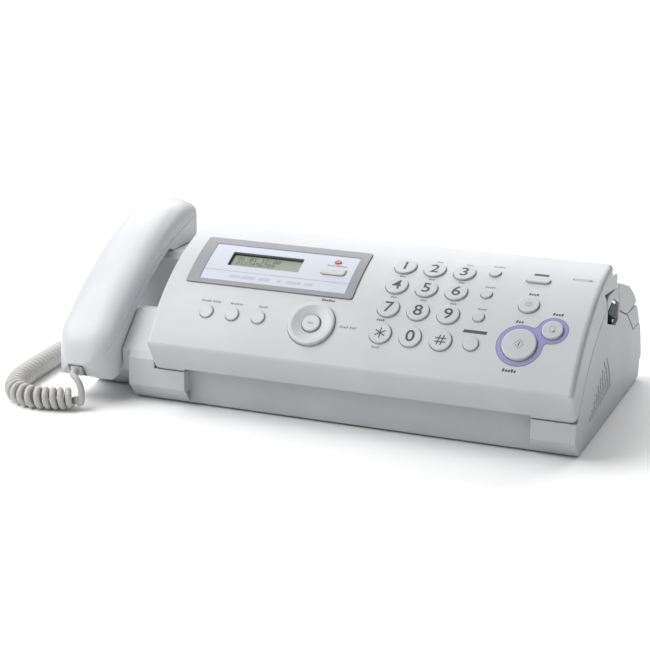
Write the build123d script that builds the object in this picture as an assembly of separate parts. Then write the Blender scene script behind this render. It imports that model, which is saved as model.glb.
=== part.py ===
from build123d import *
import math
import os

# Plain-paper fax machine: a base with a handset cradle, a tilting front cover that carries the keys,
# a tilting back cover over the film rolls, and a corded handset.
# All shapes are drawn in the casing frame, in mm: x from the right side face (left is negative),
# y back from the base's front face, z up from the base's underside. export() moves them into the
# row frame, whose origin is the middle of the object at the level of the surface it stands on.

# ---- overall sizes ----
OVERALL_WIDTH = 357.0
FRONT_REACH = 21.5              # the handset reaches this far in front of the base's front face
REAR_DEPTH = 192.0              # the base's rearmost edge
FOOT_HEIGHT = 1.5
WALL = 2.5
GAP = 0.7                       # shut line between covers and base
COVER_WIDTH = 290.0
SHOULDER_LEFT = -309.0
CRADLE_LEFT = -351.0

# ---- base: paper exit, screws and feet ----
RECESS_LEFT = -267.6
RECESS_RIGHT = -29.0
RECESS_DEPTH = 9.3
SCREW_PLACES = [(-271.5, 30.0), (-271.5, 165.0), (-18.5, 30.0), (-18.5, 165.0), (-335.0, 58.0), (-335.0, 160.0)]
FOOT_PLACES = [(-292.0, 24.0), (-14.0, 24.0), (-14.0, 168.0), (-335.0, 168.0), (-335.0, 72.0)]
SPEAKER_HOLE = 2.6

# ---- cradle: where the handset rests, the finger recess, the sockets ----
EAR_REST_Z = 83.6
FINGER_FLOOR_Z = 31.0
FINGER_FRONT_Y = 34.0
FINGER_REAR_Y = 76.0
EAR_Y = 103.0                   # middle of the earpiece cap and its pocket
EAR_CAP_R = 11.5
EAR_POCKET_Z = 79.6
HOOK_R = 4.0
JACK_Y = 140.0
JACK_Z = 12.0

# ---- curved key panel: a circle in the y-z plane ----
PANEL_Y = 109.33
PANEL_Z = -37.48
PANEL_R = 147.42
SEAM_R = 122.6                  # middle of the shut line between front cover and base
COVER_REAR_Y = 84.0
NOSE_ANGLE = 56.0
WALL_TOP_ANGLE = 18.6           # where the seam's arc ends at the rear
WALL_FRONT_ANGLE = 54.4
LIP_BOTTOM_Z = 24.4
LIP_CORNER_R = 4.0

# ---- hinges and rollers: (y, z) of each axis ----
COVER_HINGE = (92.5, 93.0)
BACK_HINGE = (165.0, 57.2)
LEVER_HINGE = (101.0, 58.5)
PLATEN_AXIS = (91.5, 50.5)
TAKEUP_AXIS = (57.0, 40.3)
SUPPLY_AXIS = (131.5, 34.5)
FEED_AXIS = (65.9, 70.1)
PLATEN_R = 8.0
TAKEUP_R = 13.0
SUPPLY_R = 17.0
FEED_R = 7.0
SHAFT_R = 3.0
LEVER_PIN_R = 1.5
SHAFT_CLEARANCE = 0.06
COVER_PIN_R = 2.5
BACK_PIN_R = 2.0
BEARING_R = 4.5                 # outside of the front cover's bearings
BACK_BEARING_R = 3.1
BRACKET_WIDTH = 3.5
GEAR_MODULE = 1.0
PLATEN_TEETH = 28
TAKEUP_TEETH = 44
GEAR_SPAN = (-20.0, -15.2)        # x range of both gears
FRAME_LEFT = -268.0             # outer faces of the two inner frames that carry the rollers
FRAME_RIGHT = -22.0
FRAME_THICKNESS = 2.0
ROLLER_LEFT = -253.0
ROLLER_RIGHT = -37.0

# ---- keys ----
KEY_CLEARANCE = 0.3
FLANGE_DEPTH = 3.8              # top of a key's hidden flange below the panel
FLANGE_THICKNESS = 1.0
BOARD_DEPTH = 6.6               # top of the switch sheet below the panel
BOARD_THICKNESS = 1.6
DIAL_X = (-130.6, -110.5, -90.4)
DIAL_ANGLES = (23.0, 30.4, 37.9, 45.5)
DIAL_DIAMETER = 14.6
RING_HOLE_R = 6.6               # hole in the navigator ring

# ---- display ----
DISPLAY_LEFT = -275.9
DISPLAY_RIGHT = -156.6
DISPLAY_TOP_ANGLE = 18.9
DISPLAY_LOW_ANGLE = 36.7
DISPLAY_RISE = 0.9              # how far the frame stands out of the panel
DISPLAY_SEAT = 1.2              # depth of the seat it lies in
LCD_X = -226.4
LCD_ANGLE = 27.05
LCD_WINDOW = (51.4, 13.6)
DISPLAY_CORNER_R = 2.0
LAMP_X = -176.8
LAMP_ANGLE = 24.3

# ---- handset ----
HANDSET_LEFT = -357.0
HANDSET_RIGHT = -316.0
HANDSET_MIDDLE = (HANDSET_LEFT + HANDSET_RIGHT) / 2
MOUTH_ROUND = (HANDSET_RIGHT - HANDSET_LEFT) / 2
EAR_CORNER = 8.0
PLUG_X = -338.2                 # middle of the cord's plug in the handset

# ---- cord ----
CORD_DIAMETER = 4.6
COIL_DIAMETER = 15.5
FLOOR_Z = -FOOT_HEIGHT
COIL_Z = FLOOR_Z + COIL_DIAMETER / 2 + 0.02

ROW_SHIFT = Location((OVERALL_WIDTH / 2, -(REAR_DEPTH - FRONT_REACH) / 2, FOOT_HEIGHT))


# ---------------------------------------------------------------- helpers
def export(shape, node):
    """Write one node, moved into the row frame."""
    moved = ROW_SHIFT * shape
    export_step(Compound(children=list(moved.solids())) if len(moved.solids()) > 1 else moved.solid(),
                f"parts/{node}.step")


def panel_point(radius, angle):
    """(y, z) on a circle about the panel's centre, angle in degrees from vertical towards the front."""
    turn = math.radians(angle)
    return (PANEL_Y - radius * math.sin(turn), PANEL_Z + radius * math.cos(turn))


def panel_plane(x, angle, radius=PANEL_R):
    """Plane that touches the panel's circle: its normal points out of the panel, its y up the panel."""
    turn = math.radians(angle)
    y, z = panel_point(radius, angle)
    return Plane(origin=(x, y, z), x_dir=(1, 0, 0), z_dir=(0, -math.sin(turn), math.cos(turn)))


def prism(face, x_low, x_high):
    """Extrude a face drawn in (y, z) from x_low to x_high."""
    return extrude(Plane.YZ.offset(x_low) * face, amount=x_high - x_low)


def polygon(*points):
    """Closed face through (y, z) points."""
    return make_face(Polyline(*points, close=True))


def arc_points(radius, start_angle, end_angle):
    """Start, middle and end point of an arc about the panel's centre."""
    middle = (start_angle + end_angle) / 2
    return (panel_point(radius, start_angle), panel_point(radius, middle), panel_point(radius, end_angle))


def band(inner_radius, outer_radius, rear_angle, front_angle):
    """Face between two circles about the panel's centre."""
    outer = arc_points(outer_radius, rear_angle, front_angle)
    inner = arc_points(inner_radius, front_angle, rear_angle)
    edges = [ThreePointArc(*outer), Line(outer[2], inner[0]), ThreePointArc(*inner), Line(inner[2], outer[0])]
    return make_face(edges)


def block(x, y, z):
    """Box from three (low, high) pairs."""
    size = (x[1] - x[0], y[1] - y[0], z[1] - z[0])
    return Pos((x[0] + x[1]) / 2, (y[0] + y[1]) / 2, (z[0] + z[1]) / 2) * Box(*size)


def rod(axis, radius, x_low, x_high):
    """Cylinder along x about an axis given as (y, z)."""
    circle = Pos(axis[0], axis[1]) * Circle(radius)
    return prism(circle, x_low, x_high)


# ---------------------------------------------------------------- base outlines
SIDE_REAR = [(158.3, 42.4), (180.2, 41.6), (185.0, 36.5), (189.0, 26.0), (192.0, 17.0),
             (192.0, 13.0), (189.0, 13.0), (188.0, 4.0), (185.0, 0.0)]
FRONT_CHAMFER = [(9.3, 0.0), (0.0, 10.6)]


def seam_face(lower_edge):
    """Side wall outline: chamfer, front face, seam arc, hinge shelf, back cover seam, rear."""
    top = arc_points(SEAM_R - GAP / 2, WALL_FRONT_ANGLE, WALL_TOP_ANGLE)
    rear_shelf = [(70.6, 85.3), (73.0, 87.3), (103.0, 87.3), (104.0, 81.5), (110.0, 68.2),
                  (117.2, 65.2), (134.2, 59.2)]
    start = [(0.0, 23.7), (3.9, 23.7)]
    edges = [Polyline(*lower_edge, *start, top[0]), ThreePointArc(*top),
             Polyline(top[2], *rear_shelf, *SIDE_REAR, lower_edge[0])]
    return make_face(edges)


def bay_walls():
    """Right side wall, left bay wall, front walls and rear wall of the main bay."""
    side = seam_face(FRONT_CHAMFER)
    right_wall = prism(side, -WALL, 0.0) - lever_window() - speaker_slots()
    walls = right_wall + prism(side, -COVER_WIDTH, -COVER_WIDTH + WALL)
    rear = polygon(*SIDE_REAR, (182.4, 0.0), (185.5, 4.0), (186.4, 15.0), (186.4, 26.0), (182.8, 35.0),
                   (179.4, 39.2), (158.3, 39.9))
    walls += prism(rear, -COVER_WIDTH, 0.0)
    front = polygon((9.3, 0.0), (0.0, 10.6), (0.0, 23.7), (12.0, 23.7), (12.0, 21.2), (2.5, 21.2),
                    (2.5, 11.6), (12.0, 0.8), (12.0, 0.0))
    for x_low, x_high in ((-COVER_WIDTH, RECESS_LEFT), (RECESS_RIGHT, 0.0)):
        walls += prism(front, x_low, x_high)
    recess = polygon((RECESS_DEPTH, 0.0), (RECESS_DEPTH, 24.6), (32.0, 30.0), (33.0, 27.8),
                     (RECESS_DEPTH + WALL, 22.2), (RECESS_DEPTH + WALL, 0.0))
    walls += prism(recess, RECESS_LEFT - WALL, RECESS_RIGHT + WALL)
    for x_low in (RECESS_LEFT - WALL, RECESS_RIGHT):
        walls += block((x_low, x_low + WALL), (1.5, RECESS_DEPTH + WALL), (9.0, 23.7))
    return walls


def roller_frames():
    """Two inner frames with the roller bearings, and the curved paper deck between the side walls."""
    outline = polygon((11.5, 2.6), (184.0, 2.6), (184.0, 10.0), (152.0, 14.0), (148.0, 40.0), (138.0, 47.0),
                      (122.0, 47.0), (106.0, 60.0), (78.0, 78.5), (60.0, 74.0), (46.0, 62.0), (38.0, 48.0),
                      (28.0, 26.5), (11.5, 17.0))
    shapes = prism(outline, FRAME_LEFT, FRAME_LEFT + FRAME_THICKNESS)
    shapes += prism(outline, FRAME_RIGHT - FRAME_THICKNESS, FRAME_RIGHT)
    shapes += prism(band(118.4, 120.4, 30.0, 54.0), -COVER_WIDTH + WALL, -WALL)
    for axis in (PLATEN_AXIS, TAKEUP_AXIS, SUPPLY_AXIS, FEED_AXIS):
        shapes -= rod(axis, SHAFT_R + SHAFT_CLEARANCE, -COVER_WIDTH + WALL + 1, -WALL - 1)
    return shapes


def hinge_brackets():
    """Upright bearings for the front cover's pins and the back cover's pins."""
    upright = polygon((84.5, 40.0), (99.5, 40.0), (99.5, 60.0), (97.0, 93.0), (88.0, 93.0), (86.0, 60.0))
    upright += Pos(*COVER_HINGE) * Circle(BEARING_R)
    rear = polygon((148.0, 38.0), (158.8, 38.0), (158.8, 46.4), (168.2, 53.5), (168.5, 57.2), (161.5, 57.2),
                   (148.0, 48.0))
    rear += Pos(*BACK_HINGE) * Circle(BACK_BEARING_R)
    shapes = Part()
    for x_low, wall_x in ((-11.5, -WALL), (-COVER_WIDTH + 8.0, -COVER_WIDTH + WALL)):
        x_high = x_low + BRACKET_WIDTH
        bearing = prism(upright, x_low, x_high) + prism(rear, x_low, x_high)
        bearing -= rod(COVER_HINGE, COVER_PIN_R + SHAFT_CLEARANCE, x_low - 1, x_high + 1)
        bearing -= rod(BACK_HINGE, BACK_PIN_R + SHAFT_CLEARANCE, x_low - 1, x_high + 1)
        ends = sorted((wall_x, x_low if wall_x < x_low else x_high))
        bearing += block(ends, (86.5, 98.5), (42.0, 54.0))
        bearing += block(ends, (149.0, 157.5), (38.2, 41.0))
        shapes += bearing
    return shapes


# ---------------------------------------------------------------- cradle
CRADLE_REAR = [(134.0, EAR_REST_Z), (141.0, 78.0), (155.0, 70.0), (164.0, 62.0), (180.2, 41.6)]


def cradle_face(front):
    """Section of the cradle: front part, finger recess, ear rest, rear slope."""
    recess = [(FINGER_FRONT_Y, FINGER_FLOOR_Z + 6.0), (FINGER_FRONT_Y + 6.0, FINGER_FLOOR_Z),
              (FINGER_REAR_Y - 12.0, FINGER_FLOOR_Z), (FINGER_REAR_Y - 2.0, FINGER_FLOOR_Z + 12.0),
              (FINGER_REAR_Y + 2.0, EAR_REST_Z - 4.0), (FINGER_REAR_Y + 7.0, EAR_REST_Z)]
    return polygon(*front, *recess, *CRADLE_REAR, *SIDE_REAR[2:])


def cradle():
    """Hollow cradle at the left: shoulder beside the cover, and the part under the handset."""
    shoulder = cradle_face([(9.3, 0.0), (0.0, 10.6), (0.0, 29.5), (3.0, 34.0), (27.0, 56.5), (34.0, 56.5)])
    beside = cradle_face([(30.0, 0.0), (5.0, 18.5), (3.2, 26.0), (3.0, 34.0), (27.0, 56.5), (34.0, 56.5)])
    under = cradle_face([(30.0, 0.0), (6.4, 17.5), (5.2, 23.2), (13.7, 37.7), (23.3, 51.8), (34.0, 53.0)])
    right = HANDSET_RIGHT + 0.8
    outer = prism(shoulder, SHOULDER_LEFT, -COVER_WIDTH)
    outer += prism(beside, right, SHOULDER_LEFT)
    outer += prism(under, CRADLE_LEFT, right)
    hollow = Part()
    for face, x_low, x_high in ((shoulder, SHOULDER_LEFT + WALL, -COVER_WIDTH),
                                (beside, right - WALL, SHOULDER_LEFT + WALL),
                                (under, CRADLE_LEFT + WALL, right)):
        inner = offset(face, amount=-WALL, kind=Kind.INTERSECTION)
        hollow += prism(inner, x_low, x_high)
    return outer - hollow


def screw_bosses():
    """Columns that take the base plate's screws: against the roller frames and under the cradle."""
    bosses = Part()
    for x, y in SCREW_PLACES:
        top = 12.0 if x > -COVER_WIDTH else (30.0 if y < 100.0 else 61.0)
        bosses += Pos(x, y, (2.6 + top) / 2) * Cylinder(4.0, top - 2.6)
    return bosses


def main_casing():
    """Base casing: main bay, cradle, roller frames and hinge brackets, open below."""
    casing = bay_walls() + roller_frames() + hinge_brackets() + cradle()
    casing -= block((CRADLE_LEFT + 5.0, -3.0), (46.0, 182.0), (-1.0, 2.5))
    casing -= block((-COVER_WIDTH - 16.0, -3.0), (12.2, 46.5), (-1.0, 2.5))
    casing += screw_bosses()
    casing += Pos(HANDSET_MIDDLE, EAR_Y, EAR_POCKET_Z) * Cylinder(EAR_CAP_R + 2.9, 5.0)
    casing -= Pos(HANDSET_MIDDLE, EAR_Y, EAR_POCKET_Z + 5.0) * Cylinder(EAR_CAP_R + 1.0, 10.0)
    casing -= Pos(HANDSET_MIDDLE, EAR_Y, EAR_POCKET_Z) * Cylinder(HOOK_R + 0.4, 12.0)
    casing += lever_pin()
    casing -= jack_openings()
    for x, y in SCREW_PLACES:
        casing -= Pos(x, y, 5.0) * Cylinder(1.5, 8.0)
    return casing


# ---------------------------------------------------------------- openings in the side walls
def lever_window():
    """Opening in the right side wall for the release lever."""
    outline = polygon((72.8, 78.0), (88.0, 82.4), (105.6, 75.5), (106.6, 70.0), (106.0, 64.0), (99.0, 61.5),
                      (73.5, 69.0))
    return prism(outline, -WALL - 1.0, 1.0)


def lever_pin():
    """Short pin on the inside of the right wall that carries the release lever."""
    return rod(LEVER_HINGE, LEVER_PIN_R, -7.6, -WALL + 0.5)


def speaker_slots():
    """Rows of small square holes that narrow to an arched top."""
    slots = Part()
    row_pitch = 3.9
    half = SPEAKER_HOLE / 2
    for row in range(8):
        z = 14.0 + row * row_pitch
        front = 38.0 + 4.6 * row + 0.03 * row * row
        rear = 92.0 - 0.16 * row * row - 0.8 * row
        count = max(2, int((rear - front) / 5.2) + 1)
        for index in range(count):
            y = front + (rear - front) * index / (count - 1)
            lift = 0.12 * (y - front)
            slots += block((-WALL - 1.0, 1.0), (y - half, y + half), (z + lift, z + lift + SPEAKER_HOLE))
    return slots


def jack_openings():
    """Holes for the handset socket at the left, the two line sockets and the power inlet at the rear."""
    holes = block((CRADLE_LEFT - 1.0, CRADLE_LEFT + WALL + 1.0), (JACK_Y - 7.0, JACK_Y + 7.0),
                  (JACK_Z - 5.0, JACK_Z + 7.0))
    for x in (-330.0, -308.0):
        holes += block((x - 7.0, x + 7.0), (180.0, 195.0), (JACK_Z - 7.0, JACK_Z + 5.0))
    holes += block((-48.0, -28.0), (180.0, 195.0), (JACK_Z - 7.0, JACK_Z + 5.0))
    return holes


def modular_socket(width, height, length):
    """Open-fronted socket block that opens towards -y."""
    shell = block((-width / 2, width / 2), (0.0, length), (-height / 2, height / 2))
    cavity_x = (-width / 2 + 1.5, width / 2 - 1.5)
    cavity_z = (-height / 2 + 2.0, height / 2 - 1.5)
    return shell - block(cavity_x, (-1.0, length - 2.0), cavity_z)


def sockets():
    """Handset socket, line socket, extension telephone socket and power inlet."""
    group = [Pos(CRADLE_LEFT + 0.5, JACK_Y, JACK_Z + 1.0) * Rot(0, 0, -90) * modular_socket(13.4, 11.4, 14.0)]
    for x in (-330.0, -308.0):
        group.append(Pos(x, 188.0, JACK_Z - 1.0) * Rot(0, 0, 180) * modular_socket(13.4, 11.4, 14.0))
    inlet = Pos(-38.0, 188.0, JACK_Z - 1.0) * Rot(0, 0, 180) * modular_socket(19.4, 11.4, 16.0)
    for x in (-42.0, -34.0):
        inlet += Pos(x, 178.0, JACK_Z - 1.0) * Rot(90, 0, 0) * Cylinder(1.1, 9.0)
    group.append(inlet)
    return Compound(children=[shape.solid() for shape in group])


# ---------------------------------------------------------------- base fittings
def base_plate():
    """Closing plate under the casing."""
    plate = block((CRADLE_LEFT + 5.3, -3.3), (46.3, 181.7), (0.0, 2.2))
    plate += block((-COVER_WIDTH - 15.7, -3.3), (12.5, 46.3), (0.0, 2.2))
    for x, y in SCREW_PLACES:
        plate -= Pos(x, y, 0.0) * Cylinder(1.7, 10.0)
        plate -= Pos(x, y, 0.0) * Cylinder(3.3, 2.2)
    return plate


def casing_screws():
    """Pan-head screws that hold the base plate."""
    screws = []
    for x, y in SCREW_PLACES:
        head = Pos(x, y, 0.6) * Cylinder(3.0, 0.9)
        head -= Pos(x, y, 0.2) * Box(3.6, 0.7, 0.5)
        head -= Pos(x, y, 0.2) * Box(0.7, 3.6, 0.5)
        screws.append((head + Pos(x, y, 4.75) * Cylinder(1.5, 7.4)).solid())
    return Compound(children=screws)


def rubber_feet():
    """Five round feet."""
    feet = [(Pos(x, y, -FOOT_HEIGHT / 2) * Cylinder(6.0, FOOT_HEIGHT)).solid() for x, y in FOOT_PLACES]
    return Compound(children=feet)


def main_board():
    """Main circuit board on its spacers, with its larger components."""
    board = block((-258.0, -60.0), (20.0, 76.0), (8.0, 9.6))
    for x in (-252.0, -66.0):
        for y in (25.0, 71.0):
            board += Pos(x, y, 5.1) * Cylinder(2.5, 5.8)
    for x, y, size, height in ((-220.0, 40.0, 22.0, 2.2), (-180.0, 52.0, 14.0, 1.8), (-140.0, 36.0, 16.0, 2.0),
                               (-100.0, 50.0, 12.0, 6.0)):
        board += Pos(x, y, 9.6 + height / 2) * Box(size, size, height)
    for x in (-85.0, -76.0):
        board += Pos(x, 32.0, 14.0) * Cylinder(3.5, 9.0)
    return board


def loudspeaker():
    """Round loudspeaker behind the slotted grille: chassis, cone and magnet."""
    centre = (68.0, 27.0)
    speaker = rod(centre, 19.5, -5.6, -WALL)
    speaker -= rod(centre, 17.0, -4.6, -WALL)
    speaker += rod(centre, 14.0, -10.0, -5.6)
    speaker += rod(centre, 9.5, -14.0, -10.0)
    return speaker


def thermal_head():
    """Heating bar under the platen roller on its finned aluminium carrier."""
    y, z = PLATEN_AXIS
    bar = block((ROLLER_LEFT, ROLLER_RIGHT), (y - 4.5, y + 4.5), (z - 12.5, z - PLATEN_R - 0.6))
    carrier = block((FRAME_LEFT + FRAME_THICKNESS, FRAME_RIGHT - FRAME_THICKNESS),
                    (y - 11.0, y + 12.5), (z - 17.0, z - 12.5))
    for index in range(5):
        rib_y = y - 10.0 + 5.3 * index
        carrier += block((ROLLER_LEFT + 4.0, ROLLER_RIGHT - 4.0), (rib_y, rib_y + 1.4), (z - 21.0, z - 17.0))
    return bar + carrier


def drive_motor():
    """Stepper motor and its closed gearbox at the left end of the platen roller."""
    y, z = PLATEN_AXIS
    low, high = FRAME_LEFT - 9.8, FRAME_LEFT
    case = block((low, high), (y - 26.0, y + 14.0), (z - 22.0, z + 9.0))
    case += block((low, high), (y - 21.0, y - 3.0), (z - 32.0, z - 22.0))
    case += rod((y - 12.0, z - 32.0), 9.0, low, high)
    return case - rod(PLATEN_AXIS, SHAFT_R + SHAFT_CLEARANCE, low + 2.0, high + 1.0)


def gear(teeth, axis, phase):
    """Spur gear with plain tapered teeth on an axis; phase in tooth pitches."""
    pitch_r = GEAR_MODULE * teeth / 2
    root_r = pitch_r - 1.15
    tip_r = pitch_r + 0.8
    tooth = Polygon((root_r - 0.6, -1.0), (pitch_r, -0.62), (tip_r, -0.36), (tip_r, 0.36), (pitch_r, 0.62),
                    (root_r - 0.6, 1.0), align=None)
    outline = Circle(root_r)
    for index in range(teeth):
        outline += Rot(0, 0, 360.0 * (index + phase) / teeth) * tooth
    return prism(Pos(*axis) * outline, *GEAR_SPAN)


def gear_phases():
    """Phases that put a tooth of the platen gear into a gap of the take-up gear."""
    line = math.degrees(math.atan2(TAKEUP_AXIS[1] - PLATEN_AXIS[1], TAKEUP_AXIS[0] - PLATEN_AXIS[0]))
    platen_phase = line * PLATEN_TEETH / 360.0
    takeup_phase = (line + 180.0) * TAKEUP_TEETH / 360.0 + 0.5
    return platen_phase, takeup_phase


def platen_roller():
    """Rubber-covered platen roller with its steel shaft."""
    return rod(PLATEN_AXIS, PLATEN_R, ROLLER_LEFT, ROLLER_RIGHT) + rod(PLATEN_AXIS, SHAFT_R, -275.0, -12.6)


def platen_gear():
    """Gear on the platen shaft that drives the film take-up."""
    return gear(PLATEN_TEETH, PLATEN_AXIS, gear_phases()[0]) - rod(PLATEN_AXIS, SHAFT_R, -21.0, -14.0)


def film_roll(axis, radius, shaft_end):
    """Core, wound film and end journals of a film roll."""
    roll = rod(axis, 8.0, FRAME_LEFT + 6.0, FRAME_RIGHT - 6.0)
    roll += rod(axis, radius, ROLLER_LEFT, ROLLER_RIGHT)
    return roll + rod(axis, SHAFT_R, FRAME_LEFT - 4.0, shaft_end)


def film_takeup_roll():
    """Take-up roll with the gear moulded on its end."""
    return film_roll(TAKEUP_AXIS, TAKEUP_R, -14.6) + gear(TAKEUP_TEETH, TAKEUP_AXIS, gear_phases()[1])


def film_supply_roll():
    """Supply roll."""
    return film_roll(SUPPLY_AXIS, SUPPLY_R, -18.0)


def feed_roller():
    """Document feed roller: rubber sleeves on a steel shaft."""
    roller = rod(FEED_AXIS, SHAFT_R, FRAME_LEFT - 4.0, -18.0)
    for x in (-235.0, -165.0, -95.0):
        roller += rod(FEED_AXIS, FEED_R, x, x + 40.0)
    return roller


def hook_switch():
    """Plunger in the ear pocket that the resting handset holds down."""
    plunger = Pos(HANDSET_MIDDLE, EAR_Y, 72.6) * Cylinder(HOOK_R, 16.0)
    return plunger + Pos(HANDSET_MIDDLE, EAR_Y, 66.0) * Cylinder(HOOK_R + 2.5, 2.0)


def release_lever():
    """Lever at the right side that frees the back cover: thumb tab outside, arm and eye inside."""
    tab = prism(polygon((75.0, 76.0), (87.0, 80.2), (104.4, 73.6), (100.5, 65.8), (97.5, 65.8)), -6.5, -0.1)
    tab = fillet(tab.edges(), 0.7)
    arm = polygon((96.5, 71.0), (104.0, 71.0), (104.4, 58.5), (97.6, 58.5)) + Pos(*LEVER_HINGE) * Circle(3.4)
    lever = tab + prism(arm, -7.6, -WALL - 1.2)
    return lever - rod(LEVER_HINGE, LEVER_PIN_R + SHAFT_CLEARANCE, -9.0, -1.0)


def rear_paper_guide():
    """Frame of the paper entrance behind the back cover."""
    cheek = polygon((137.0, 59.2), (164.0, 58.8), (168.5, 56.6), (171.7, 52.8), (176.6, 46.6), (179.6, 42.3),
                    (159.4, 43.1))
    floor = polygon((159.4, 43.1), (179.6, 42.3), (176.6, 46.6), (174.0, 49.8), (172.0, 48.2), (173.8, 44.8),
                    (160.0, 45.4))
    guide = prism(floor, -COVER_WIDTH, 0.0)
    return guide + prism(cheek, -WALL, 0.0) + prism(cheek, -COVER_WIDTH, -COVER_WIDTH + WALL)


# ---------------------------------------------------------------- back cover
COVER_TOP = [(106.5, 88.5), (141.0, 78.0), (155.0, 70.0), (163.0, 64.3), (165.0, 60.6)]


def back_cover():
    """Cover over the film rolls: curved top with the document chute, side lobes and hinge lugs."""
    top = polygon(*COVER_TOP, (161.6, 60.6), (152.4, 67.4), (139.6, 75.2), (104.9, 85.5))
    chute = polygon((90.0, 82.5), (97.0, 87.0), (106.5, 88.5), (108.0, 84.6), (98.4, 84.4), (91.4, 80.0))
    lobe = polygon((104.9, 87.6), *COVER_TOP, (134.6, 60.0), (117.6, 66.0), (110.7, 69.0), (104.9, 82.2))
    cover = prism(top, -COVER_WIDTH + 0.5, -0.5)
    for x_low in (-COVER_WIDTH, -WALL):
        cover += prism(lobe, x_low, x_low + WALL)
    cover = fillet(upper_edges(cover), 1.2)
    cover += prism(chute, -COVER_WIDTH + 12.5, -12.5)
    lug = Pos(*BACK_HINGE) * Circle(3.3)
    lug += polygon((161.8, 57.2), (168.0, 57.2), (164.6, 61.0), (160.5, 62.5))
    for x_low, pin_low in ((-7.6, -11.4), (-COVER_WIDTH + 4.1, -COVER_WIDTH + 7.6)):
        cover += prism(lug, x_low, x_low + BRACKET_WIDTH)
        cover += rod(BACK_HINGE, BACK_PIN_R, pin_low, pin_low + BRACKET_WIDTH + 0.3)
    return cover


def upper_edges(shape):
    """Outer edges of the back cover's top at its two sides."""
    chosen = []
    for edge in shape.edges():
        middle = edge.center()
        at_side = min(abs(middle.X), abs(middle.X + COVER_WIDTH)) < 0.01
        on_top = any(min(a[0], b[0]) <= middle.Y <= max(a[0], b[0])
                     and abs(a[1] + (b[1] - a[1]) * (middle.Y - a[0]) / (b[0] - a[0]) - middle.Z) < 0.1
                     for a, b in zip(COVER_TOP[:-1], COVER_TOP[1:]))
        if at_side and on_top:
            chosen.append(edge)
    return chosen


def document_guide(face_x, side):
    """Sliding paper guide on the back cover's top; side is the way its foot points from the upright."""
    foot = polygon((109.0, 88.1), (135.0, 80.3), (135.5, 81.9), (109.5, 89.7))
    upright = polygon((109.0, 88.1), (135.0, 80.3), (136.0, 88.5), (133.0, 90.4), (114.0, 96.8), (111.2, 95.6))
    guide = prism(upright, *sorted((face_x, face_x + side * 2.0)))
    return guide + prism(foot, *sorted((face_x, face_x + side * 22.0)))


# ---------------------------------------------------------------- front cover
def cover_outline():
    """Outside of the front cover: panel arc, lip, seam arc and rear wall."""
    rear_angle = math.degrees(math.asin((PANEL_Y - COVER_REAR_Y) / PANEL_R))
    panel = arc_points(PANEL_R, rear_angle, NOSE_ANGLE)
    seam = arc_points(SEAM_R + GAP / 2, WALL_FRONT_ANGLE, 19.2)
    low_front = Polyline(panel[2], (0.6, LIP_BOTTOM_Z), (3.4, LIP_BOTTOM_Z), seam[0])
    low_rear = Polyline(seam[2], (67.8, 85.0), (61.5, 91.3), (80.0, 89.4), (COVER_REAR_Y, 89.4), panel[0])
    return make_face([ThreePointArc(*panel), low_front, ThreePointArc(*seam), low_rear])


def cover_hollow():
    """Inside of the front cover, open below."""
    inner_r = PANEL_R - WALL
    rear_y = COVER_REAR_Y - WALL
    rear_angle = math.degrees(math.asin((PANEL_Y - rear_y) / inner_r))
    panel = arc_points(inner_r, rear_angle, 54.3)
    rest = Polyline(panel[2], (-8.9, 44.6), (3.3, 24.0), (3.3, 5.0), (rear_y, 5.0), panel[0])
    return make_face([ThreePointArc(*panel), rest])


def rounded_envelope():
    """Front cover's outside with its edges rounded."""
    solid = prism(cover_outline(), -COVER_WIDTH, 0.0)
    long_edges = solid.edges().filter_by(Axis.X)
    nose = long_edges.sort_by_distance((-COVER_WIDTH / 2, *panel_point(PANEL_R, NOSE_ANGLE)))[0]
    solid = fillet(nose, 2.6)
    rear_top = (-COVER_WIDTH / 2, COVER_REAR_Y, PANEL_Z + PANEL_R)
    solid = fillet(solid.edges().filter_by(Axis.X).sort_by_distance(rear_top)[0], 3.6)
    side_edges = []
    for edge in solid.edges():
        middle = edge.center()
        if min(abs(middle.X), abs(middle.X + COVER_WIDTH)) > 0.01:
            continue
        distance = math.hypot(middle.Y - PANEL_Y, middle.Z - PANEL_Z)
        on_lip = middle.Y < 0.0 and middle.Z < 46.0
        on_rear = abs(middle.Y - COVER_REAR_Y) < 0.01
        if distance > PANEL_R - 16.0 and (distance > PANEL_R - 3.0 or on_lip or on_rear):
            side_edges.append(edge)
    return fillet(side_edges, 3.2)


def radial_hole(x, angle, shape, low_radius=130.0, high_radius=160.0):
    """Prism of a flat shape through the panel at a place."""
    return extrude(panel_plane(x, angle, low_radius) * shape, amount=high_radius - low_radius)


def ears():
    """Hinge ears at both ends of the cover, with their pins."""
    outline = polygon((80.0, 89.4), (92.5, 88.0), (92.5, 98.0), (80.0, 98.0)) + Pos(*COVER_HINGE) * Circle(5.0)
    both = Part()
    for x_low, pin_low in ((-7.4, -11.4), (-COVER_WIDTH, -COVER_WIDTH + 7.4)):
        both += prism(outline, x_low, x_low + 7.4)
        both += rod(COVER_HINGE, COVER_PIN_R, pin_low, pin_low + 4.0)
    return both


BOARD_POSTS = [(-281.0, 27.0), (-281.0, 47.0), (-145.0, 27.0), (-145.0, 50.0), (-57.0, 27.0), (-57.0, 51.0),
               (-9.5, 27.0), (-9.5, 47.0)]


def lip_corners():
    """What is cut off the lip's two lower corners to round them."""
    z = LIP_BOTTOM_Z
    cut = Part()
    for face_x, way in ((0.0, -1.0), (-COVER_WIDTH, 1.0)):
        inner_x = face_x + way * LIP_CORNER_R
        corner = block(sorted((face_x - way, inner_x)), (-12.0, 6.0), (z - 1.0, z + LIP_CORNER_R))
        cut += corner - Pos(inner_x, -3.0, z + LIP_CORNER_R) * Rot(90, 0, 0) * Cylinder(LIP_CORNER_R, 20.0)
    return cut


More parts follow.
